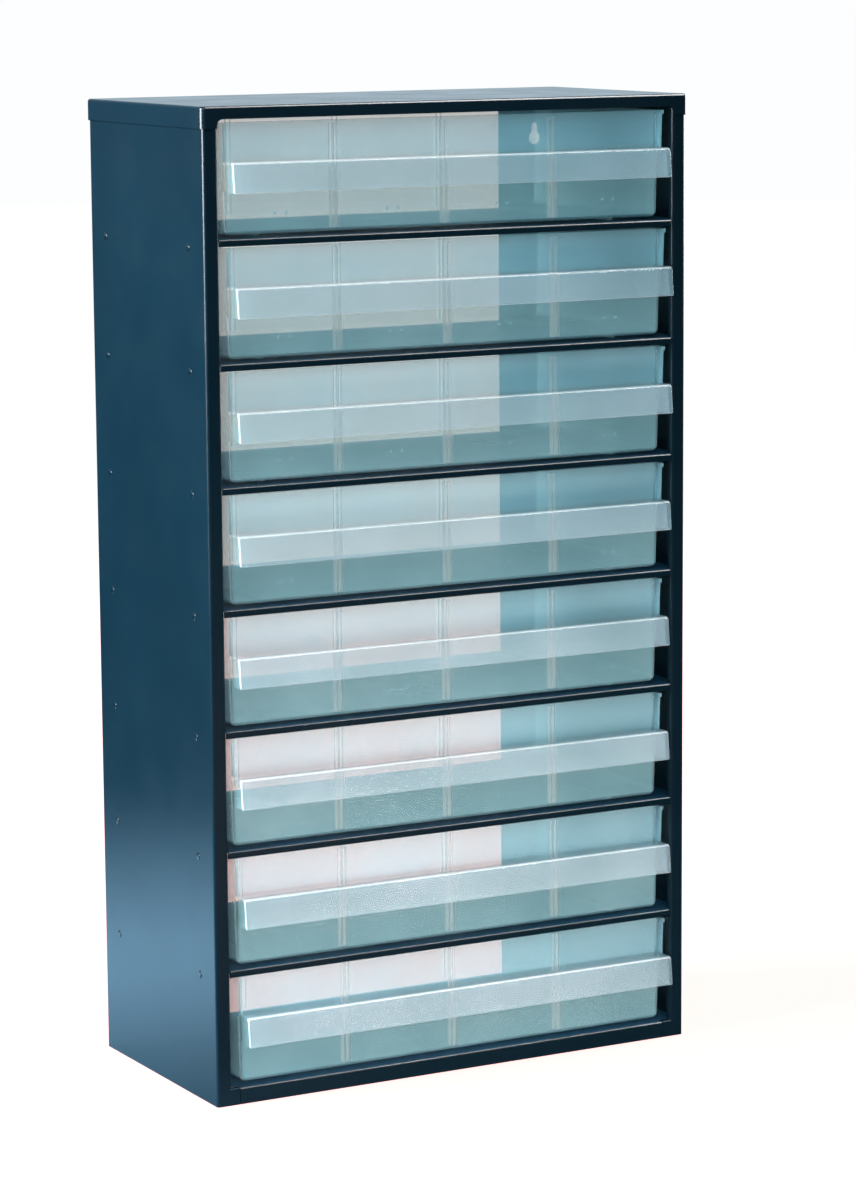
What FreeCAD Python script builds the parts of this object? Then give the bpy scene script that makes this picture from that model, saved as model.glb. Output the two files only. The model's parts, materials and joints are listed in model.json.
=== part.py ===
import FreeCAD, Part
import os
import Sketcher

# A small-parts cabinet: a folded steel case with one column of pull-out plastic drawers.
# Units are millimetres. +Z is up, the drawers pull out towards -Y, and the origin is on
# the floor under the middle of the whole object, handles included.
# Every piece is drawn with y = 0 on the front plane of the case and z = 0 on the surface
# that carries it, and its Placement puts it where it belongs.

SIZES = [
    ("cab_width", 306.0, "width over the top cap"),
    ("cab_depth", 150.0, "depth over the top cap"),
    ("sheet", 1.0, "steel of the cap, the sides and the base"),
    ("bend", 1.6, "outside radius of a fold"),
    ("drawer_count", 8, "drawers in the column"),
    ("drawer_pitch", 67.2, "from one shelf to the next"),
    ("base_height", 9.4, "floor to the top of the base panel"),
    ("head_room", 4.0, "last drawer space to the top of the cap"),
    ("cap_skirt", 12.0, "height of the cap's sides and corners"),
    ("cap_strip", 7.0, "height of the cap's front between its corners"),
    ("cap_corner", 9.5, "width of the cap's front corners"),
    ("cap_curve", 3.0, "radius where the strip runs into the corners"),
    ("front_flange", 8.8, "width of the side panels' front fold"),
    ("flange_return", 4.0, "depth of the return behind that fold"),
    ("rear_flange", 38.0, "width of the side panels' rear fold"),
    ("foot_tab", 5.0, "how far the front fold widens beside the base panel"),
    ("keyhole_radius", 4.0, "round end of the hanging hole"),
    ("keyhole_slot", 4.2, "width of its narrow end"),
    ("slot_end_share", 0.48, "of that width, the radius of the slot's end corners"),
    ("keyhole_rise", 9.0, "round centre to the top of the slot"),
    ("keyhole_drop", 30.0, "top of the case to the round centre"),
    ("keyhole_inset", 13.5, "outside of the case to the round centre"),
    ("shelf_sheet", 0.8, "steel of the shelves"),
    ("lip_height", 4.0, "height of a shelf's folded front lip"),
    ("lip_depth", 1.6, "thickness of that lip, which is folded double"),
    ("lip_end_gap", 0.3, "lip to the side panel at each end"),
    ("lip_top_share", 0.7, "of the lip's thickness, the radius along its top"),
    ("lip_foot_share", 0.45, "of the lip's thickness, the radii along its foot"),
    ("weld_tab", 9.0, "height of the folded tabs at a shelf's ends"),
    ("weld_tab_inset", 12.0, "where those tabs start and stop, front and rear"),
    ("base_return", 14.0, "width of the base panel's resting flange"),
    ("side_play", 5.2, "side panel's fold to the drawer, each side"),
    ("lip_gap", 1.0, "drawer rim to the lip above it"),
    ("rear_play", 5.0, "drawer to the rear fold"),
    ("wall", 1.5, "plastic of the drawer's walls"),
    ("drawer_floor", 1.6, "plastic of the drawer's floor"),
    ("draft", 1.7, "how far each side leans in from rim to floor"),
    ("runner_height", 2.0, "height of the two runners under a drawer"),
    ("runner_width", 3.0, "width of a runner"),
    ("runner_inset", 24.0, "drawer side to a runner"),
    ("side_setback", 1.0, "front plane to the front edges of the drawer sides"),
    ("label_recess", 5.0, "those edges to the wall behind a label"),
    ("front_setback", 3.5, "front plane to the lower front wall"),
    ("web_height", 41.3, "shelf to the top of the handle"),
    ("handle_height", 16.5, "height of the handle's front plate"),
    ("handle_reach", 10.6, "front plane to the lower edge of the plate"),
    ("handle_lean", 1.8, "how much further out the lower edge is than the upper"),
    ("handle_wall", 1.8, "plastic of the handle"),
    ("foot_thinning", 0.2, "how much thinner the plate gets towards its foot"),
    ("handle_round", 2.4, "radius along the handle's top edge"),
    ("handle_end_round", 1.0, "radius of the plate's upright ends"),
    ("rim_height", 2.2, "height of the bead round the rim"),
    ("rim_out", 0.6, "how far the bead stands out"),
    ("corner_round", 3.4, "radius along the drawer's lower edges"),
    ("low_front_share", 0.7, "of that radius, the radius along the lower front edge"),
    ("edge_round", 0.5, "radius of the drawer's rim and the handle's foot"),
    ("compartments", 4, "spaces that dividers would make in a drawer"),
    ("rib_gap", 3.0, "between the centres of the two ribs of a slot"),
    ("rib_width", 1.2, "width of a rib"),
    ("rib_depth", 1.5, "how far a rib stands off the wall"),
    ("stop_inset", 24.4, "back of a drawer to the front of its lugs, which meet the lip"),
    ("stop_height", 3.0, "height of a lug above the rim"),
    ("stop_length", 14.0, "length of a lug"),
    ("overcut", 1.0, "how far a cut starts outside the material"),
    ("merge", 0.5, "how far one cut runs into the space of another"),
]

# How far each drawer happens to sit to one side within its play, from the lowest up.
REST_SHIFTS = (1.0, -0.2, -1.4, -1.5, -0.5, 0.3, 0.5, -1.0)
for number, shift in enumerate(REST_SHIFTS, start=1):
    SIZES.append((f"rest_shift_{number}", shift, "sideways rest place of this drawer"))

ALIASES = {alias for alias, _, _ in SIZES}

# How close two places must be to count as the same, in mm, and how unlike to count as different.
SAME, FLAT = 0.02, 0.01
SLACK, CLEARLY = 0.1, 1.0
SHORTEST_EDGE = 0.5
LEAST_CUT = 0.1

doc = FreeCAD.newDocument("parts_organizer")
sheet = doc.addObject("Spreadsheet::Sheet", "Sizes")
for row, (alias, value, note) in enumerate(SIZES, start=1):
    sheet.set(f"A{row}", alias)
    sheet.set(f"B{row}", str(value))
    sheet.set(f"C{row}", note)
    sheet.setAlias(f"B{row}", alias)
doc.recompute()


def bound(text):
    """An expression with the sheet's name put before each of its aliases."""
    words = text.replace("(", " ( ").replace(")", " ) ").split()
    return " ".join(f"Sizes.{word}" if word in ALIASES else word for word in words)


# Lengths that several pieces share, each worked out from the sheet.
BODY_FRONT = "( handle_reach + sheet - cab_depth ) / 2"
BODY_DEPTH = "( cab_depth - sheet - sheet )"
BODY_HALF = "( cab_width / 2 - sheet )"
CASE_TOP = "( base_height + drawer_count * drawer_pitch + head_room )"
BODY_TOP = f"( {CASE_TOP} - sheet )"
INSIDE_HALF = f"( {BODY_HALF} - sheet )"
OPENING_HALF = f"( {BODY_HALF} - front_flange )"
LIP_HALF = f"( {OPENING_HALF} - lip_end_gap )"
INSIDE_BACK = f"( {BODY_DEPTH} - sheet )"
BEHIND_FOLD = "( flange_return + lip_end_gap )"
DRAWER_HALF = f"( {OPENING_HALF} - side_play )"
DRAWER_HEIGHT = "( drawer_pitch - lip_height - lip_gap )"
DRAWER_BACK = f"( {INSIDE_BACK} - rear_play )"
LABEL_WALL = "( side_setback + label_recess )"


def start_body(label, level="0", shift="0"):
    """An empty body whose Placement stands it in the case."""
    body = doc.addObject("PartDesign::Body", label)
    body.Label = label
    body.setExpression("Placement.Base.x", bound(shift))
    body.setExpression("Placement.Base.y", bound(BODY_FRONT))
    body.setExpression("Placement.Base.z", bound(level))
    return body


def start_sketch(body, role, name, offset):
    """A sketch on one of the body's own planes, moved along the plane's normal."""
    sketch = body.newObject("Sketcher::SketchObject", f"{body.Name}_{name}")
    plane = next(item for item in body.Origin.OriginFeatures if item.Role == role)
    sketch.AttachmentSupport = [(plane, "")]
    sketch.MapMode = "FlatFace"
    sketch.setExpression("AttachmentOffset.Base.z", bound(offset))
    return sketch


def hold_point(sketch, index, place, position):
    """Bind both coordinates of a sketch point to the sheet."""
    for kind, text in zip(("DistanceX", "DistanceY"), position):
        item = sketch.addConstraint(Sketcher.Constraint(kind, -1, 1, index, place, 1.0))
        sketch.setExpression(f"Constraints[{item}]", bound(text))


def add_outline(sketch, points):
    """A closed outline of straight sides through the points."""
    first = sketch.GeometryCount
    count = len(points)
    for number in range(count):
        # The starting places only have to lie apart: the bound distances move them.
        begin = FreeCAD.Vector(number, number * number, 0)
        end = FreeCAD.Vector(number + 1, (number + 1) ** 2, 0)
        sketch.addGeometry(Part.LineSegment(begin, end), False)
    for number in range(count):
        after = first + (number + 1) % count
        sketch.addConstraint(Sketcher.Constraint("Coincident", first + number, 2, after, 1))
        hold_point(sketch, first + number, 1, points[number])


def rectangle(low, high):
    """The four corners of a rectangle between two opposite ones."""
    (left, bottom), (right, top) = low, high
    return [(left, bottom), (right, bottom), (right, top), (left, top)]


def centred(half, bottom, top):
    """A rectangle that lies evenly about the sketch's vertical axis."""
    return rectangle((f"0 - {half}", bottom), (half, top))


def draw(body, role, name, offset, outlines):
    """A sketch with one or more closed outlines."""
    sketch = start_sketch(body, role, name, offset)
    for points in outlines:
        add_outline(sketch, points)
    return sketch


def pad(body, sketch, length, symmetric=False, backwards=False):
    """Extrude a sketch and add it to the body."""
    feature = body.newObject("PartDesign::Pad", f"{sketch.Name}_pad")
    feature.Profile = sketch
    feature.SideType = "Symmetric" if symmetric else "One side"
    feature.Reversed = backwards
    feature.setExpression("Length", bound(length))
    doc.recompute()
    return feature


def pocket(body, sketch, length, symmetric=False, backwards=False):
    """Extrude a sketch, take it out of the body, and see that it took something."""
    before = body.Tip.Shape.Volume
    feature = body.newObject("PartDesign::Pocket", f"{sketch.Name}_pocket")
    feature.Profile = sketch
    feature.SideType = "Symmetric" if symmetric else "One side"
    feature.Reversed = backwards
    feature.setExpression("Length", bound(length))
    doc.recompute()
    if feature.Shape.Volume > before - LEAST_CUT:
        raise RuntimeError(f"{feature.Name} takes nothing away")
    return feature


def round_off(body, name, radius, wanted):
    """Fillet those edges of the body that the test picks."""
    base = body.Tip
    names = [f"Edge{i}" for i, edge in enumerate(base.Shape.Edges, start=1) if wanted(edge)]
    if not names:
        raise RuntimeError(f"{body.Label}: no edge found for {name}")
    feature = body.newObject("PartDesign::Fillet", f"{body.Name}_{name}")
    feature.Base = (base, names)
    feature.setExpression("Radius", bound(radius))
    doc.recompute()
    return feature


def runs_along(edge, axis):
    """Whether a straight edge runs along X, Y or Z."""
    box = edge.BoundBox
    lengths = {"x": box.XLength, "y": box.YLength, "z": box.ZLength}
    along = lengths.pop(axis)
    return along > SHORTEST_EDGE and max(lengths.values()) < FLAT


def near(value, target):
    """Whether two places are the same."""
    return abs(value - target) < SAME


def value_of(text):
    """The present value of any expression made of aliases."""
    return float(sheet.evalExpression(bound(text)))


def add_cap():
    """Top cap: a shallow tray, open below, whose front is cut back between its corners."""
    body = start_body("top_cap")
    half = "( cab_width / 2 )"
    back = f"( {BODY_DEPTH} + sheet )"
    plan = draw(body, "XY_Plane", "plan", f"{CASE_TOP} - cap_skirt",
                [rectangle((f"0 - {half}", "0 - sheet"), (half, back))])
    pad(body, plan, "cap_skirt")
    corner_x, top_z = value_of(half), value_of(CASE_TOP)
    round_off(body, "corners", "bend + sheet",
              lambda edge: runs_along(edge, "z") and near(abs(edge.BoundBox.XMin), corner_x))
    round_off(body, "top_edge", "bend",
              lambda edge: near(edge.BoundBox.ZMin, top_z) and near(edge.BoundBox.ZMax, top_z))
    inside = draw(body, "XY_Plane", "inside", f"{CASE_TOP} - cap_skirt",
                  [centred(BODY_HALF, "0", BODY_DEPTH)])
    pocket(body, inside, "cap_skirt - sheet", backwards=True)
    corner_inner = f"( {half} - cap_corner )"
    mouth = draw(body, "XZ_Plane", "mouth", "sheet * 2",
                 [centred(corner_inner, f"{CASE_TOP} - cap_skirt - overcut", f"{CASE_TOP} - cap_strip")])
    pocket(body, mouth, "sheet * 3")
    strip_z, mouth_x = value_of(f"{CASE_TOP} - cap_strip"), value_of(corner_inner)
    round_off(body, "mouth_corners", "cap_curve",
              lambda edge: runs_along(edge, "y") and near(abs(edge.BoundBox.XMin), mouth_x)
              and near(edge.BoundBox.ZMin, strip_z))
    hem = draw(body, "XY_Plane", "hem", f"{CASE_TOP} - cap_strip",
               [centred(LIP_HALF, "0 - sheet / 2", "sheet")])
    pad(body, hem, "cap_strip - sheet / 2")


def add_side(name, hand):
    """Side panel: a C-section with a narrow front fold and a wide rear fold with a keyhole."""
    def across(text):
        return text if hand > 0 else f"0 - {text}"

    body = start_body(name)
    plan = [
        (BODY_HALF, "0"),
        (BODY_HALF, BODY_DEPTH),
        (f"( {BODY_HALF} - rear_flange )", BODY_DEPTH),
        (f"( {BODY_HALF} - rear_flange )", INSIDE_BACK),
        (INSIDE_HALF, INSIDE_BACK),
        (INSIDE_HALF, "sheet"),
        (f"( {OPENING_HALF} + sheet )", "sheet"),
        (f"( {OPENING_HALF} + sheet )", "flange_return"),
        (OPENING_HALF, "flange_return"),
        (OPENING_HALF, "0"),
    ]
    outline = draw(body, "XY_Plane", "plan", "0", [[(across(x), y) for x, y in plan]])
    pad(body, outline, BODY_TOP)
    outer_x, opening_x, back_y = value_of(BODY_HALF), value_of(OPENING_HALF), value_of(BODY_DEPTH)
    folds = [(outer_x, 0.0), (outer_x, back_y), (opening_x, 0.0)]
    round_off(body, "folds", "bend",
              lambda edge: runs_along(edge, "z") and any(
                  near(abs(edge.BoundBox.XMin), x) and near(edge.BoundBox.YMin, y)
                  for x, y in folds))
    inner_x, inner_y = value_of(INSIDE_HALF), value_of(INSIDE_BACK)
    inner = [(inner_x, value_of("sheet")), (inner_x, inner_y),
             (opening_x + value_of("sheet"), value_of("sheet"))]
    round_off(body, "inner_folds", "bend - sheet",
              lambda edge: runs_along(edge, "z") and any(
                  near(abs(edge.BoundBox.XMin), x) and near(edge.BoundBox.YMin, y)
                  for x, y in inner))
    tab = draw(body, "XY_Plane", "foot_tab", "0",
               [rectangle((across(f"( {OPENING_HALF} - foot_tab )"), "0"),
                          (across(f"( {OPENING_HALF} + bend )"), "sheet"))])
    pad(body, tab, "base_height")
    centre_x = across(f"( {BODY_HALF} - keyhole_inset )")
    centre_z = f"( {CASE_TOP} - keyhole_drop )"
    hole = start_sketch(body, "XZ_Plane", "keyhole_round", f"0 - {INSIDE_BACK} + sheet")
    hole.addGeometry(Part.Circle(FreeCAD.Vector(0, 0, 0), FreeCAD.Vector(0, 0, 1), 1.0), False)
    radius = hole.addConstraint(Sketcher.Constraint("Radius", 0, 1.0))
    hole.setExpression(f"Constraints[{radius}]", bound("keyhole_radius"))
    hold_point(hole, 0, 3, (centre_x, centre_z))
    pocket(body, hole, "sheet * 3")
    half_slot = "keyhole_slot / 2"
    slot = draw(body, "XZ_Plane", "keyhole_slot", f"0 - {INSIDE_BACK} + sheet",
                [rectangle((f"{centre_x} - {half_slot}", centre_z),
                           (f"{centre_x} + {half_slot}", f"{centre_z} + keyhole_rise"))])
    pocket(body, slot, "sheet * 3")
    slot_top = value_of(f"{centre_z} + keyhole_rise")
    round_off(body, "keyhole_end", "keyhole_slot * slot_end_share",
              lambda edge: runs_along(edge, "y") and near(edge.BoundBox.ZMin, slot_top))


def tray_plan(front_half, inset="0"):
    """Plan of a panel that fills the case behind the side panels' front folds."""
    narrow, wide = f"( {front_half} - {inset} )", f"( {INSIDE_HALF} - {inset} )"
    step, back = f"( {BEHIND_FOLD} + {inset} )", f"( {INSIDE_BACK} - {inset} )"
    return [
        (f"0 - {narrow}", inset),
        (narrow, inset),
        (narrow, step),
        (wide, step),
        (wide, back),
        (f"0 - {wide}", back),
        (f"0 - {wide}", step),
        (f"0 - {narrow}", step),
    ]


def clear_folds(body, level):
    """Round the panel's rear corners, so that they clear the inside of the side panels' folds."""
    inside_x, inside_y = value_of(INSIDE_HALF), value_of(INSIDE_BACK)
    round_off(body, "rear_corners", "bend",
              lambda edge: runs_along(edge, "z") and near(abs(edge.BoundBox.XMin), inside_x)
              and near(edge.BoundBox.YMin, inside_y) and near(edge.BoundBox.ZMax, level))


def add_base():
    """Base panel: an upside-down tray with a flange turned in all round, which it rests on."""
    body = start_body("base_panel")
    front_half = f"( {OPENING_HALF} - foot_tab - lip_end_gap )"
    plan = draw(body, "XY_Plane", "plan", "0", [tray_plan(front_half)])
    pad(body, plan, "base_height")
    top_z = value_of("base_height")
    clear_folds(body, top_z)
    round_off(body, "front_fold", "bend",
              lambda edge: runs_along(edge, "x") and near(edge.BoundBox.YMin, 0)
              and near(edge.BoundBox.ZMin, top_z))
    hollow = draw(body, "XY_Plane", "hollow", "base_height - sheet",
                  [tray_plan(front_half, "sheet")])
    pocket(body, hollow, "base_height - sheet * 2")
    window = draw(body, "XY_Plane", "window", "sheet * 2",
                  [centred(f"( {front_half} - base_return )", "base_return",
                           f"( {INSIDE_BACK} - base_return )")])
    pocket(body, window, "sheet * 3")


def add_shelf(number):
    """Shelf: a flat sheet with a doubled lip along its front and weld tabs at its ends."""
    body = start_body(f"shelf_{number}", f"base_height + {number} * drawer_pitch")
    plan = draw(body, "XY_Plane", "plan", "0 - shelf_sheet", [tray_plan(LIP_HALF)])
    pad(body, plan, "shelf_sheet")
    clear_folds(body, 0.0)
    lip = draw(body, "YZ_Plane", "lip", "0",
               [rectangle(("0", "0 - lip_height"), ("lip_depth", "0"))])
    pad(body, lip, f"{LIP_HALF} * 2", symmetric=True)
    lip_z = -value_of("lip_height")
    round_off(body, "lip_fold", "lip_depth * lip_top_share",
              lambda edge: runs_along(edge, "x") and near(edge.BoundBox.YMin, 0)
              and near(edge.BoundBox.ZMin, 0))
    round_off(body, "lip_foot", "lip_depth * lip_foot_share",
              lambda edge: runs_along(edge, "x") and near(edge.BoundBox.ZMin, lip_z))
    tabs = [rectangle((f"0 - {INSIDE_HALF}", "weld_tab_inset"),
                      (f"0 - {INSIDE_HALF} + shelf_sheet", f"{INSIDE_BACK} - weld_tab_inset")),
            rectangle((f"{INSIDE_HALF} - shelf_sheet", "weld_tab_inset"),
                      (INSIDE_HALF, f"{INSIDE_BACK} - weld_tab_inset"))]
    tab = draw(body, "XY_Plane", "tabs", "0 - weld_tab", tabs)
    pad(body, tab, "weld_tab")


def slot_centres():
    """Places across a drawer where a pair of ribs makes a slot for a divider."""
    count = int(value_of("compartments"))
    for number in range(1, count):
        yield f"( ( {number} - compartments / 2 ) * {DRAWER_HALF} * 2 / compartments )"


def rib_plans(front, back):
    """Plan of every rib that stands off one wall."""
    half = "rib_width / 2"
    for centre in slot_centres():
        for side in ("-", "+"):
            middle = f"{centre} {side} rib_gap / 2"
            yield rectangle((f"{middle} - {half}", front), (f"{middle} + {half}", back))


def add_drawer(number):
    """Drawer: a thin tub with a hollow full-width handle, ribs, runners and stop lugs."""
    body = start_body(f"drawer_{number}", f"base_height + ( {number} - 1 ) * drawer_pitch",
                      f"rest_shift_{number}")
    low_half = f"( {DRAWER_HALF} - draft )"

    # The tub's outside, with its sides leaning in towards the floor.
    front_view = [(f"0 - {low_half}", "runner_height"), (low_half, "runner_height"),
                  (DRAWER_HALF, DRAWER_HEIGHT), (f"0 - {DRAWER_HALF}", DRAWER_HEIGHT)]
    outside = draw(body, "XZ_Plane", "outside", "0 - side_setback", [front_view])
    pad(body, outside, f"{DRAWER_BACK} - side_setback", backwards=True)
    low_x, low_z = value_of(low_half), value_of("runner_height")
    round_off(body, "low_sides", "corner_round",
              lambda edge: runs_along(edge, "y") and near(edge.BoundBox.ZMin, low_z))

    # The lower front wall stands back, and so does the wall behind a label.
    web_under = "( web_height - handle_wall )"
    step = draw(body, "YZ_Plane", "step", "0",
                [rectangle(("0 - overcut", "0 - overcut"), ("front_setback", web_under))])
    pocket(body, step, f"( {DRAWER_HALF} + overcut ) * 2", symmetric=True)
    recess = draw(body, "XZ_Plane", "recess", "overcut - side_setback",
                  [centred(f"( {DRAWER_HALF} - wall )", "web_height", f"{DRAWER_HEIGHT} + overcut")])
    pocket(body, recess, "label_recess + overcut")
    front_y = value_of("front_setback")
    round_off(body, "low_front", "corner_round * low_front_share",
              lambda edge: near(edge.BoundBox.YMin, front_y) and near(edge.BoundBox.YMax, front_y)
              and edge.BoundBox.ZMin < value_of(web_under) - CLEARLY)

    # The inside: straight down behind the label wall, and forward under the handle's web.
    floor_z = "( runner_height + drawer_floor )"
    inner_low, inner_top = f"( {low_half} - wall )", f"( {DRAWER_HALF} - wall )"
    inner_front = f"( {LABEL_WALL} + wall )"
    inner_back = f"( {DRAWER_BACK} - wall )"
    above = f"{DRAWER_HEIGHT} + overcut"
    inside_view = [(f"0 - {inner_low}", floor_z), (inner_low, floor_z),
                   (inner_top, above), (f"0 - {inner_top}", above)]
    inside = draw(body, "XZ_Plane", "inside", f"0 - {inner_front}", [inside_view])
    pocket(body, inside, f"{inner_back} - {inner_front}")
    toe_view = [(f"0 - {inner_low}", floor_z), (inner_low, floor_z),
                (f"( {inner_low} + draft / 2 )", f"{web_under} - wall"),
                (f"0 - {inner_low} - draft / 2", f"{web_under} - wall")]
    toe = draw(body, "XZ_Plane", "toe", "0 - front_setback - wall", [toe_view])
    pocket(body, toe, f"{inner_front} - front_setback - wall + merge")

    # The handle: a plate, a web over it and two ends, open below for the fingers.
    low_plate = "( web_height - handle_height )"
    top_reach = "( handle_reach - handle_lean )"
    handle_half = f"( {DRAWER_HALF} - rim_out / 2 )"
    block = [(f"0 - {top_reach}", "web_height"), ("0 - handle_reach", low_plate),
             ("front_setback + wall / 2", low_plate), ("front_setback + wall / 2", "web_height")]
    handle = draw(body, "YZ_Plane", "handle", "0", [block])
    pad(body, handle, f"{handle_half} * 2", symmetric=True)
    web_z, reach_y, end_x = value_of("web_height"), -value_of(top_reach), value_of(handle_half)
    round_off(body, "handle_top", "handle_round",
              lambda edge: near(edge.BoundBox.ZMin, web_z) and near(edge.BoundBox.ZMax, web_z)
              and edge.BoundBox.YMax < value_of("side_setback") + SLACK
              and (near(edge.BoundBox.YMin, reach_y) or near(abs(edge.BoundBox.XMin), end_x)
                   and near(edge.BoundBox.XLength, 0)))
    plate_z = value_of(low_plate)
    round_off(body, "handle_foot", "edge_round",
              lambda edge: runs_along(edge, "x") and near(edge.BoundBox.ZMin, plate_z)
              and edge.BoundBox.YMax < reach_y)
    round_off(body, "handle_ends", "handle_end_round",
              lambda edge: near(abs(edge.BoundBox.XMin), end_x) and near(edge.BoundBox.XLength, 0)
              and edge.BoundBox.YMax < reach_y + value_of("handle_round") + SLACK
              and edge.BoundBox.ZLength > CLEARLY)
    hollow = [(f"0 - {top_reach} + handle_wall", web_under),
              ("0 - handle_reach + handle_wall - foot_thinning", f"{low_plate} - overcut"),
              ("front_setback", f"{low_plate} - overcut"), ("front_setback", web_under)]
    grip = draw(body, "YZ_Plane", "grip", "0", [hollow])
    pocket(body, grip, f"( {handle_half} - handle_wall ) * 2", symmetric=True)

    # Ribs that make slots for dividers, on the front and back walls.
    upper = draw(body, "XY_Plane", "upper_ribs", web_under,
                 list(rib_plans(f"{inner_front} - wall / 2", f"{inner_front} + rib_depth")))
    pad(body, upper, f"{DRAWER_HEIGHT} - rim_height - {web_under}")
    lower = draw(body, "XY_Plane", "lower_ribs", f"{floor_z} - drawer_floor / 2",
                 list(rib_plans("front_setback + wall / 2", f"{inner_front} + rib_depth")))
    pad(body, lower, f"{web_under} - {floor_z} + drawer_floor / 2")
    rear = draw(body, "XY_Plane", "rear_ribs", f"{floor_z} - drawer_floor / 2",
                list(rib_plans(f"{inner_back} - rib_depth", f"{inner_back} + wall / 2")))
    pad(body, rear, f"{DRAWER_HEIGHT} - rim_height - {floor_z} + drawer_floor / 2")

    # The bead round the rim follows the label recess.
    rim_half, rim_front = f"( {DRAWER_HALF} + rim_out )", "( side_setback - rim_out )"
    flank, ledge = f"( {DRAWER_HALF} - wall )", f"( {LABEL_WALL} - rim_out )"
    bead = [(f"0 - {rim_half}", rim_front), (f"0 - {flank}", rim_front), (f"0 - {flank}", ledge),
            (flank, ledge), (flank, rim_front), (rim_half, rim_front),
            (rim_half, f"{DRAWER_BACK} + rim_out"), (f"0 - {rim_half}", f"{DRAWER_BACK} + rim_out")]
    bead_inside = centred(f"( {DRAWER_HALF} - wall / 2 )", f"{inner_front} - wall / 2",
                          f"{inner_back} + wall / 2")
    rim = draw(body, "XY_Plane", "rim", f"{DRAWER_HEIGHT} - rim_height", [bead, bead_inside])
    pad(body, rim, "rim_height")
    rim_z = value_of(DRAWER_HEIGHT)
    round_off(body, "rim_edges", "edge_round",
              lambda edge: near(edge.BoundBox.ZMin, rim_z) and near(edge.BoundBox.ZMax, rim_z))

    # Runners under the floor, and lugs that catch the lip when the drawer is pulled out.
    runner_in = f"( {low_half} - runner_inset )"
    rails = [rectangle((f"{side} {runner_in} - runner_width / 2", "front_setback + runner_inset / 2"),
                       (f"{side} {runner_in} + runner_width / 2", f"{DRAWER_BACK} - corner_round"))
             for side in ("0 -", "0 +")]
    runners = draw(body, "XY_Plane", "runners", "0", rails)
    pad(body, runners, "runner_height + drawer_floor / 2")
    lug_front = f"( {DRAWER_BACK} - stop_inset )"
    lugs = [rectangle((f"{side} {inner_top}", lug_front),
                      (f"{side} {inner_top} {sign} wall", f"{lug_front} + stop_length"))
            for side, sign in (("0 -", "-"), ("0 +", "+"))]
    stops = draw(body, "XY_Plane", "stops", f"{DRAWER_HEIGHT} - rim_height / 2", lugs)
    pad(body, stops, "stop_height + rim_height / 2")


add_cap()
add_side("left_side_panel", -1)
add_side("right_side_panel", +1)
add_base()
for count in range(1, int(value_of("drawer_count"))):
    add_shelf(count)
for count in range(1, int(value_of("drawer_count")) + 1):
    add_drawer(count)
doc.recompute()

for item in doc.Objects:
    if any(state in ("Invalid", "Error") for state in item.State):
        raise RuntimeError(f"{item.Label} failed: {item.State}")

os.makedirs("parts", exist_ok=True)
for body in doc.Objects:
    if body.TypeId != "PartDesign::Body":
        continue
    shape = body.Shape
    if shape.isNull() or not shape.isValid() or len(shape.Solids) != 1:
        raise RuntimeError(f"{body.Label} is not one sound solid")
    shape.exportStep(f"parts/{body.Label}.step")
    print(body.Label, round(shape.Volume / 1000, 2), "cm3")
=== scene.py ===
"""Looks for the steel drawer cabinet: materials, small moulded and welded details, studio and camera."""
import json
import math

import bmesh
import bpy
from mathutils import Matrix, Vector


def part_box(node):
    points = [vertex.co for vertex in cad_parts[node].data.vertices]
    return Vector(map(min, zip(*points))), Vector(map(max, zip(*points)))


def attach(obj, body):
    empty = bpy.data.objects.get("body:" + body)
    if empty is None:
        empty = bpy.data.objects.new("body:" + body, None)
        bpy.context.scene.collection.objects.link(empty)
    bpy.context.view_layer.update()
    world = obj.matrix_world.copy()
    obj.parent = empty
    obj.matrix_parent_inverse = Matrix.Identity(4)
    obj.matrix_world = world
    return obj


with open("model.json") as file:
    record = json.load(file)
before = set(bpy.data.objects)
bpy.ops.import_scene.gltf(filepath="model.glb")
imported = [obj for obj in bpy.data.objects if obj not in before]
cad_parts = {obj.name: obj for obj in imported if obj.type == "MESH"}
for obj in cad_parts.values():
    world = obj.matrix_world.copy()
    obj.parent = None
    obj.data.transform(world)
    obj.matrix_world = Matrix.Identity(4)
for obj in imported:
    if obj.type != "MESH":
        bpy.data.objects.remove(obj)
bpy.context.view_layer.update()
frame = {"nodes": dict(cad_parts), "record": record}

MM = 0.001

SUBPARTS = frame["record"]["subparts"]
STEEL_NODES = [row["node"] for row in SUBPARTS if row["material_slot"] == "painted_steel"]
DRAWER_NODES = [row["node"] for row in SUBPARTS if row["material_slot"] == "frosted_plastic"]
SHARP_ANGLE = math.radians(32)

# each paint: its name, darker and paler tone, specular level, least and greatest roughness
PAINTS = (
    ("painted_steel", (0.0011, 0.0063, 0.0113), (0.0014, 0.0076, 0.0133), 0.25, 0.19, 0.25),
    # the second paint, for what faces up, is duller from wear and much paler: that paleness is painted light
    # on the tops
    ("rubbed_steel_painted_light", (0.006, 0.036, 0.072), (0.008, 0.045, 0.088), 0.1, 0.45, 0.6),
)
PAINT_IOR = 1.5
TONE_SCALE, GLOSS_SCALE = 9.0, 35.0
FOLD_ROUND = 0.7 * MM
PEEL_SCALE, PEEL_DEPTH, PEEL_STRENGTH = 620.0, 0.02 * MM, 0.35
WAVE_SCALE, WAVE_DEPTH, WAVE_STRENGTH = 14.0, 0.4 * MM, 0.25

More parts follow.
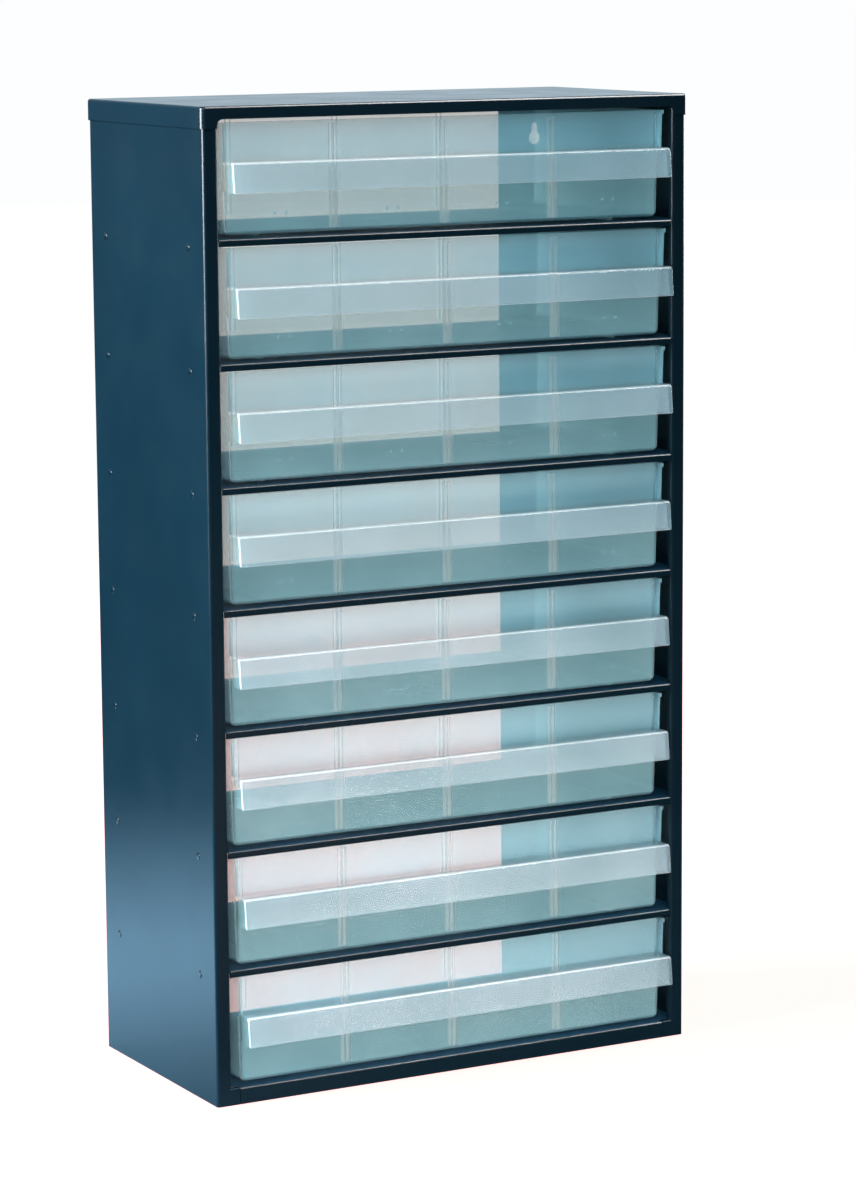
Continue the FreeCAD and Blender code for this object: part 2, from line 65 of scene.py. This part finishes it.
# each plastic, in the order of a drawer's slots: its name, two tints and how milky it is
PLASTICS = (
    ("frosted_plastic", (0.235, 0.59, 0.75), (0.285, 0.65, 0.81), 0.31),
    # paler and milkier: a painted highlight on the rim, the ribs and the handle's outline
    ("frosted_plastic_painted_highlight", (0.70, 0.84, 0.90), (0.76, 0.88, 0.93), 0.36),
    ("frosted_plastic_clear", (0.245, 0.59, 0.73), (0.295, 0.65, 0.79), 0.08),
    ("frosted_plastic_handle", (0.29, 0.54, 0.68), (0.35, 0.59, 0.73), 0.27),
    # darker: painted shade on the lower front wall
    ("frosted_plastic_low_painted_shade", (0.17, 0.46, 0.57), (0.21, 0.51, 0.62), 0.31),
)
WALL, EDGE_HIGHLIGHT, CLEAR, HANDLE, LOW_FRONT_SHADE = range(len(PLASTICS))
PLASTIC_IOR = 1.49
CLOUD_SCALE, MILK_SPREAD = 16.0, 0.03
SCUFF_SCALE, SCUFF_STRETCH, SCUFF_ROUGHNESS = 60.0, (0.15, 1.0, 1.0), (0.16, 0.30)
RIPPLE_SCALE, RIPPLE_DEPTH, RIPPLE_STRENGTH = 90.0, 0.02 * MM, 0.15
MILK_SHARE = 0.3
CLEAR_TINT = (1.0, 0.945, 0.905, 1.0)

# how deep below the rim, and how far behind the handle's face, the edges with a painted highlight reach
RIM_LIGHT = 0.8 * MM
HANDLE_LIGHT = 3.4 * MM
# how far back the handle reaches, where it starts and ends in height, and how high the clear floor is
HANDLE_BACK = 11.5 * MM
HANDLE_FOOT, HANDLE_TOP = 24.0 * MM, 42.0 * MM
FLOOR_CLEAR = 2.0 * MM
# the drawers' mouldings, from the front of the handle, the middle, the back or the underside
COMPARTMENTS = 4
MIDDLE_ROW = (COMPARTMENTS - 1) / 2
SLOT_PITCH = 69.0 * MM
SLOT_HALF = 2.4 * MM
RIB_FRONT, RIB_TIP = 15.4 * MM, 19.6 * MM
REAR_WALL, REAR_TIP = 1.6 * MM, 3.0 * MM
LOWER_WALL, LOWER_REACH = 14.1 * MM, 1.8 * MM
SLACK = 0.1 * MM
# how squarely a face must look along an axis, as the part of its normal on that axis
UPWARD, SIDEWAYS = 0.9, 0.8
ON_RIM, RIB_SIDE, FRONTWARD = 0.3, 0.7, 0.5
OUTLINE = (0.1, 0.8)
PIP_RISE = 13.0 * MM
PIP_APART = 7.0 * MM
PIP_RADIUS, PIP_HEIGHT = 1.0 * MM, 0.3 * MM
DOME_STEPS = (20, 10)
# spot welds on the sides: size, how far behind the front edge, and how far below a shelf's top
WELD_RADIUS, WELD_HEIGHT = 2.2 * MM, 0.03 * MM
WELD_INSETS = (20.0 * MM, 128.0 * MM)
WELD_DROP = 5.0 * MM

FLOOR_RADIUS, FLOOR_SIDES = 8.0, 96
# near this place the floor throws coloured light back at the cabinet, further off almost none
BOUNCE_CENTRE = (-0.28, 0.25, 0.0)
BOUNCE_COLOUR, BOUNCE_FAR = (0.27, 0.48, 0.66), (0.003, 0.004, 0.005)
BOUNCE_REACH = (0.05, 0.45)
# what the camera sees: a plain white floor that glows, with a painted warm, over-lit pool of light where it
# shows through the open back
PAPER = (0.05, 0.05, 0.05)
PAPER_GLOW, PAPER_REACH = (0.75, 1.0), (0.3, 1.4)
GLOW_CENTRE = (0.1, 0.2, 0.0)
GLOW_NEAR, GLOW_FAR = (2.1, 1.2, 1.15), (1.0, 1.0, 1.0)
GLOW_REACH = (0.1, 1.9)
WHITE = (1.0, 1.0, 1.0)
WARM = (1.0, 0.58, 0.48)
# name, place, what it points at, width, power in watts, colour and what it does: light, be mirrored or both
LAMPS = (
    ("key_left", (-1.7, 0.2, 0.9), (-0.15, 0.0, 0.25), 1.2, 255.0, WHITE, "both"),
    ("key_right", (1.7, 0.2, 0.9), (0.15, 0.0, 0.25), 1.2, 70.0, WHITE, "both"),
    ("top_soft", (0.1, 0.2, 2.0), (0.0, 0.0, 0.2), 1.6, 12.0, WHITE, "both"),
    ("front_fill", (-0.9, -2.2, 2.2), (0.0, 0.0, 0.2), 1.4, 50.0, WHITE, "both"),
    ("front_low", (-0.9, -1.6, 0.4), (0.0, 0.0, 0.25), 0.8, 23.0, WHITE, "light"),
    ("foot_fill", (0.0, -0.4, 0.03), (0.0, 0.0, 0.02), 0.3, 5.5, WARM, "light"),
    ("glint", (1.0, -0.6, 2.0), (0.0, 0.0, 0.3), 0.9, 110.0, WHITE, "mirrored"),
)
# the room's own light comes from this way, within these cosines of it, and hardly from elsewhere
BACKDROP_WAY, BACKDROP_CONE = (0.475, 0.88, 0.0), (0.6, 0.95)
ROOM_DIM, ROOM_BRIGHT = 0.02, 1.0
ROOM_COLOUR = (0.70, 0.88, 1.0, 1.0)
SKY_COLOUR = (0.98, 0.99, 1.0, 1.0)

# the camera, found from the corners of the cabinet
CAMERA_PLACE = (-1.0758, -2.003, 0.6324)
CAMERA_ANGLES = (28.7, -9.24, -0.41)     # yaw, pitch and roll in degrees
CAMERA_SENSOR, CAMERA_LENS = 36.0, 168.05
CAMERA_REACH = 60.0


# ---------------------------------------------------------------- node helpers

def new_material(name):
    """A material with an empty node tree; returns it, its nodes and its links."""
    made = bpy.data.materials.new(name)
    made.use_nodes = True
    made.node_tree.nodes.clear()
    return made, made.node_tree.nodes, made.node_tree.links


def noise(nodes, links, place, scale, detail=3.0, stretch=(1.0, 1.0, 1.0)):
    """A noise value in the object's own metres, stretched along an axis where asked."""
    mapping = nodes.new("ShaderNodeMapping")
    mapping.inputs["Scale"].default_value = stretch
    links.new(place, mapping.inputs["Vector"])
    texture = nodes.new("ShaderNodeTexNoise")
    texture.inputs["Scale"].default_value = scale
    texture.inputs["Detail"].default_value = detail
    links.new(mapping.outputs["Vector"], texture.inputs["Vector"])
    return texture.outputs["Fac"]


def remap(nodes, links, value, low, high, source=(0.3, 0.7)):
    """Value taken from the source range into low to high."""
    node = nodes.new("ShaderNodeMapRange")
    node.inputs["From Min"].default_value, node.inputs["From Max"].default_value = source
    node.inputs["To Min"].default_value, node.inputs["To Max"].default_value = low, high
    links.new(value, node.inputs["Value"])
    return node.outputs["Result"]


def blend_colours(nodes, links, factor, first, second):
    """Two colours mixed by a value; either may be a tuple or a socket."""
    mix = nodes.new("ShaderNodeMix")
    mix.data_type = "RGBA"
    links.new(factor, mix.inputs["Factor"])
    for key, colour in ((6, first), (7, second)):
        if isinstance(colour, tuple):
            mix.inputs[key].default_value = (*colour, 1.0)
        else:
            links.new(colour, mix.inputs[key])
    return mix.outputs[2]


def bump(nodes, links, height, distance, strength, under=None):
    """Normal bumped by a height value, over another normal where given."""
    node = nodes.new("ShaderNodeBump")
    node.inputs["Distance"].default_value = distance
    node.inputs["Strength"].default_value = strength
    links.new(height, node.inputs["Height"])
    if under is not None:
        links.new(under, node.inputs["Normal"])
    return node.outputs["Normal"]


# ---------------------------------------------------------------- materials

def painted_steel(name, dark, pale, specular, glossiest, dullest):
    """Blue-teal powder coat of that tone and gloss, with fine orange peel and softened folds."""
    made, nodes, links = new_material(name)
    place = nodes.new("ShaderNodeTexCoord").outputs["Object"]
    shader = nodes.new("ShaderNodeBsdfPrincipled")
    shader.inputs["IOR"].default_value = PAINT_IOR
    shader.inputs["Specular IOR Level"].default_value = specular

    tone = remap(nodes, links, noise(nodes, links, place, TONE_SCALE), 0.0, 1.0)
    links.new(blend_colours(nodes, links, tone, dark, pale), shader.inputs["Base Color"])

    gloss = remap(nodes, links, noise(nodes, links, place, GLOSS_SCALE, 4.0), glossiest, dullest)
    links.new(gloss, shader.inputs["Roughness"])

    rounded = nodes.new("ShaderNodeBevel")
    rounded.samples = 4
    rounded.inputs["Radius"].default_value = FOLD_ROUND
    peel = noise(nodes, links, place, PEEL_SCALE, 2.0)
    wave = noise(nodes, links, place, WAVE_SCALE, 1.0)
    skin = bump(nodes, links, peel, PEEL_DEPTH, PEEL_STRENGTH, rounded.outputs["Normal"])
    skin = bump(nodes, links, wave, WAVE_DEPTH, WAVE_STRENGTH, skin)
    links.new(skin, shader.inputs["Normal"])

    out = nodes.new("ShaderNodeOutputMaterial")
    links.new(shader.outputs["BSDF"], out.inputs["Surface"])
    return made


def frosted_plastic(name, thin, thick, milkiness):
    """Milky translucent polypropylene: part clear, part scattering, with fine handling scuffs."""
    made, nodes, links = new_material(name)
    place = nodes.new("ShaderNodeTexCoord").outputs["Object"]
    shader = nodes.new("ShaderNodeBsdfPrincipled")
    shader.inputs["IOR"].default_value = PLASTIC_IOR

    cloud = remap(nodes, links, noise(nodes, links, place, CLOUD_SCALE, 4.0), 0.0, 1.0)
    tint = blend_colours(nodes, links, cloud, thin, thick)
    links.new(tint, shader.inputs["Base Color"])

    scuff = noise(nodes, links, place, SCUFF_SCALE, 5.0, stretch=SCUFF_STRETCH)
    links.new(remap(nodes, links, scuff, *SCUFF_ROUGHNESS), shader.inputs["Roughness"])
    ripple = noise(nodes, links, place, RIPPLE_SCALE, 2.0)
    links.new(bump(nodes, links, ripple, RIPPLE_DEPTH, RIPPLE_STRENGTH), shader.inputs["Normal"])

    milk = nodes.new("ShaderNodeBsdfTranslucent")
    links.new(tint, milk.inputs["Color"])
    solid = nodes.new("ShaderNodeMixShader")
    solid.inputs["Fac"].default_value = MILK_SHARE
    links.new(shader.outputs["BSDF"], solid.inputs[1])
    links.new(milk.outputs["BSDF"], solid.inputs[2])

    clear = nodes.new("ShaderNodeBsdfTransparent")
    clear.inputs["Color"].default_value = CLEAR_TINT
    whole = nodes.new("ShaderNodeMixShader")
    milky = remap(nodes, links, cloud, milkiness - MILK_SPREAD, milkiness + MILK_SPREAD, (0.0, 1.0))
    links.new(milky, whole.inputs["Fac"])
    links.new(clear.outputs["BSDF"], whole.inputs[1])
    links.new(solid.outputs["Shader"], whole.inputs[2])

    out = nodes.new("ShaderNodeOutputMaterial")
    links.new(whole.outputs["Shader"], out.inputs["Surface"])
    return made


def dress(node, material):
    """Gives a CAD node its material and smooth shading that breaks at its real edges."""
    mesh = frame["nodes"][node].data
    mesh.materials.clear()
    mesh.materials.append(material)
    for face in mesh.polygons:
        face.use_smooth = True
    mesh.set_sharp_from_angle(angle=SHARP_ANGLE)


def dull_top_with_painted_light(node, material):
    """What faces up under the cap gets the second paint: worn dull by rubbing, above all on the shelves
    where the drawers slide, and paler, which is painted light on the tops.
    """
    mesh = frame["nodes"][node].data
    mesh.materials.append(material)
    for face in mesh.polygons:
        if face.normal.z > UPWARD:
            face.material_index = 1


def shade_zones(node, materials):
    """Gives the zones of a drawer their own plastics, in the order of the slots after the wall's; among them
    are a painted highlight on its edges and a painted shade on its lower front wall.
    """
    mesh = frame["nodes"][node].data
    low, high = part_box(node)
    for material in materials:
        mesh.materials.append(material)
    for face in mesh.polygons:
        face.material_index = zone_of(face.center, face.normal, low, high)


def zone_of(place, facing, low, high):
    """The slot of a face of a drawer: its rim, its ribs and the handle's outline get a painted highlight,
    and the lower front wall a painted shade.
    """
    off_middle = place - Vector(((low.x + high.x) / 2, 0.0, 0.0))
    on_rim = place.z > high.z - RIM_LIGHT and facing.z > ON_RIM
    on_outline = place.y < low.y + HANDLE_LIGHT and OUTLINE[0] < abs(facing.y) < OUTLINE[1]
    if on_rim or on_outline or on_rib(off_middle, facing, low, high):
        return EDGE_HIGHLIGHT
    on_end = place.y < low.y + HANDLE_BACK and abs(facing.x) > SIDEWAYS
    on_floor = place.z < low.z + FLOOR_CLEAR and abs(facing.z) > SIDEWAYS
    if on_end or on_floor:
        return CLEAR
    if place.y < low.y + HANDLE_BACK and low.z + HANDLE_FOOT < place.z < low.z + HANDLE_TOP:
        return HANDLE
    if abs(place.y - low.y - LOWER_WALL) < LOWER_REACH and abs(facing.y) > FRONTWARD:
        return LOW_FRONT_SHADE
    return WALL


def on_rib(place, facing, low, high):
    """Whether a face belongs to the ribs that hold a divider, on the front wall or the rear one."""
    off_slot = abs((place.x + SLOT_PITCH / 2) % SLOT_PITCH - SLOT_PITCH / 2)
    in_front = low.y + RIB_FRONT < place.y < low.y + RIB_TIP + SLACK
    at_tip = place.y > low.y + RIB_TIP - SLACK
    behind = high.y - REAR_TIP - SLACK < place.y < high.y - REAR_WALL
    side_on = abs(facing.x) > RIB_SIDE
    return off_slot < SLOT_HALF and ((in_front and (side_on or at_tip)) or (behind and side_on))


# ---------------------------------------------------------------- small details

def domes(name, places, axis, radius, height, body, material):
    """One piece of many low round domes, each standing on a surface that faces along the axis."""
    form = bmesh.new()
    turn = Vector(axis).to_track_quat("Z", "Y").to_matrix().to_4x4()
    squash = Matrix.Diagonal((radius, radius, height, 1.0))
    for place in places:
        bmesh.ops.create_uvsphere(form, u_segments=DOME_STEPS[0], v_segments=DOME_STEPS[1], radius=1.0,
                                  matrix=Matrix.Translation(place) @ turn @ squash)
    mesh = bpy.data.meshes.new(name)
    form.to_mesh(mesh)
    form.free()
    for face in mesh.polygons:
        face.use_smooth = True
    mesh.materials.append(material)
    piece = bpy.data.objects.new(name, mesh)
    bpy.context.scene.collection.objects.link(piece)
    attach(piece, body)


def moulding_pips(node, material):
    """Pairs of ejector marks low on the front wall, one pair in the middle of each compartment."""
    low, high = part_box(node)
    middle = (low.x + high.x) / 2
    places = [(middle + (row - MIDDLE_ROW) * SLOT_PITCH + side * PIP_APART / 2,
               low.y + LOWER_WALL, low.z + PIP_RISE)
              for row in range(COMPARTMENTS) for side in (-1, 1)]
    domes(f"{node}_pips", places, (0, -1, 0), PIP_RADIUS, PIP_HEIGHT, node, material)


def spot_welds(node, hand, material):
    """Faint spot welds on a side panel, in a row where each shelf's tab is welded behind it."""
    low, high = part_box(node)
    face_x = high.x if hand > 0 else low.x
    levels = [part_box(name)[1].z for name in STEEL_NODES if name.startswith("shelf")]
    places = [(face_x, low.y + inset, level - WELD_DROP) for level in levels for inset in WELD_INSETS]
    domes(f"{node}_spot_welds", places, (hand, 0, 0), WELD_RADIUS, WELD_HEIGHT,
          "case", material)


# ---------------------------------------------------------------- studio

def studio():
    """Pale floor and backdrop, soft area lights, and a room that is bright behind and dim in front."""
    floor_mesh = bpy.data.meshes.new("floor")
    form = bmesh.new()
    bmesh.ops.create_circle(form, cap_ends=True, segments=FLOOR_SIDES, radius=FLOOR_RADIUS)
    form.to_mesh(floor_mesh)
    form.free()
    floor = bpy.data.objects.new("floor", floor_mesh)
    bpy.context.scene.collection.objects.link(floor)
    floor_mesh.materials.append(floor_paper())
    bpy.context.scene.world = room()
    for lamp in LAMPS:
        soft_light(*lamp)
    bpy.context.scene.view_settings.view_transform = "Standard"


def distance_from(nodes, links, point):
    """How far a shaded place is from a point, in metres."""
    node = nodes.new("ShaderNodeVectorMath")
    node.operation = "DISTANCE"
    node.inputs[1].default_value = point
    links.new(nodes.new("ShaderNodeNewGeometry").outputs["Position"], node.inputs[0])
    return node.outputs["Value"]


def floor_paper():
    """White paper that runs into a white backdrop; it throws back light mostly from beside the cabinet, and
    to the camera it glows, with a painted warm pool of light behind the cabinet.
    """
    made, nodes, links = new_material("floor_paper")
    seen = nodes.new("ShaderNodeLightPath").outputs["Is Camera Ray"]
    away = remap(nodes, links, distance_from(nodes, links, BOUNCE_CENTRE), 0.0, 1.0, BOUNCE_REACH)
    bounce = blend_colours(nodes, links, away, BOUNCE_COLOUR, BOUNCE_FAR)
    paper = nodes.new("ShaderNodeBsdfDiffuse")
    links.new(blend_colours(nodes, links, seen, bounce, PAPER), paper.inputs["Color"])
    far = remap(nodes, links, distance_from(nodes, links, (0.0, 0.0, 0.0)), *PAPER_GLOW, PAPER_REACH)
    glow = nodes.new("ShaderNodeMath")
    glow.operation = "MULTIPLY"
    links.new(seen, glow.inputs[0])
    links.new(far, glow.inputs[1])
    # the glow the camera sees: even white far off, a painted warm pool of light near the back of the cabinet
    backdrop = nodes.new("ShaderNodeEmission")
    away = remap(nodes, links, distance_from(nodes, links, GLOW_CENTRE), 0.0, 1.0, GLOW_REACH)
    links.new(blend_colours(nodes, links, away, GLOW_NEAR, GLOW_FAR), backdrop.inputs["Color"])
    links.new(glow.outputs["Value"], backdrop.inputs["Strength"])
    whole = nodes.new("ShaderNodeAddShader")
    links.new(paper.outputs["BSDF"], whole.inputs[0])
    links.new(backdrop.outputs["Emission"], whole.inputs[1])
    out = nodes.new("ShaderNodeOutputMaterial")
    links.new(whole.outputs["Shader"], out.inputs["Surface"])
    return made


def room():
    """The world: white where the camera looks, and for everything else bright behind and dim in front."""
    world = bpy.data.worlds.new("room")
    world.use_nodes = True
    nodes, links = world.node_tree.nodes, world.node_tree.links
    nodes.clear()
    way = nodes.new("ShaderNodeVectorMath")
    way.operation = "DOT_PRODUCT"
    way.inputs[1].default_value = BACKDROP_WAY
    links.new(nodes.new("ShaderNodeTexCoord").outputs["Generated"], way.inputs[0])
    around = nodes.new("ShaderNodeBackground")
    around.inputs["Color"].default_value = ROOM_COLOUR
    strength = remap(nodes, links, way.outputs["Value"], ROOM_DIM, ROOM_BRIGHT, BACKDROP_CONE)
    links.new(strength, around.inputs["Strength"])
    seen = nodes.new("ShaderNodeBackground")
    seen.inputs["Color"].default_value = SKY_COLOUR
    pick = nodes.new("ShaderNodeMixShader")
    links.new(nodes.new("ShaderNodeLightPath").outputs["Is Camera Ray"], pick.inputs["Fac"])
    links.new(around.outputs["Background"], pick.inputs[1])
    links.new(seen.outputs["Background"], pick.inputs[2])
    out = nodes.new("ShaderNodeOutputWorld")
    links.new(pick.outputs["Shader"], out.inputs["Surface"])
    return world


def soft_light(name, place, target, size, power, colour, does):
    """A square area light aimed at a point; the camera never sees it, and it lights, is mirrored or both."""
    light = bpy.data.lights.new(name, "AREA")
    light.shape = "SQUARE"
    light.size = size
    light.energy = power
    light.color = colour
    lamp = bpy.data.objects.new(name, light)
    bpy.context.scene.collection.objects.link(lamp)
    lamp.location = place
    lamp.visible_camera = False
    lamp.visible_glossy = does != "light"
    lamp.visible_diffuse = does != "mirrored"
    lamp.rotation_euler = (Vector(target) - Vector(place)).to_track_quat("-Z", "Y").to_euler()


def camera():
    """The photograph's viewpoint: front left, a little above the top, through a long lens."""
    yaw, pitch, roll = (math.radians(angle) for angle in CAMERA_ANGLES)
    ahead = Vector((math.sin(yaw) * math.cos(pitch), math.cos(yaw) * math.cos(pitch), math.sin(pitch)))
    level = Vector((math.cos(yaw), -math.sin(yaw), 0.0))
    upright = level.cross(ahead)
    right = level * math.cos(roll) + upright * math.sin(roll)
    up = upright * math.cos(roll) - level * math.sin(roll)
    data = bpy.data.cameras.new("camera")
    data.sensor_fit = "HORIZONTAL"
    data.sensor_width = CAMERA_SENSOR
    data.lens = CAMERA_LENS
    data.clip_end = CAMERA_REACH
    view = bpy.data.objects.new("camera", data)
    bpy.context.scene.collection.objects.link(view)
    turn = Matrix((right, up, -ahead)).transposed().to_4x4()
    view.matrix_world = Matrix.Translation(CAMERA_PLACE) @ turn
    bpy.context.scene.camera = view


paint, rubbed_painted_light = [painted_steel(*row) for row in PAINTS]
plastics = [frosted_plastic(*row) for row in PLASTICS]
for node in STEEL_NODES:
    dress(node, paint)
    if node != "top_cap":
        dull_top_with_painted_light(node, rubbed_painted_light)
for node in DRAWER_NODES:
    dress(node, plastics[WALL])
    shade_zones(node, plastics[EDGE_HIGHLIGHT:])
    moulding_pips(node, plastics[WALL])
spot_welds("left_side_panel", -1, paint)
spot_welds("right_side_panel", 1, paint)
studio()
camera()
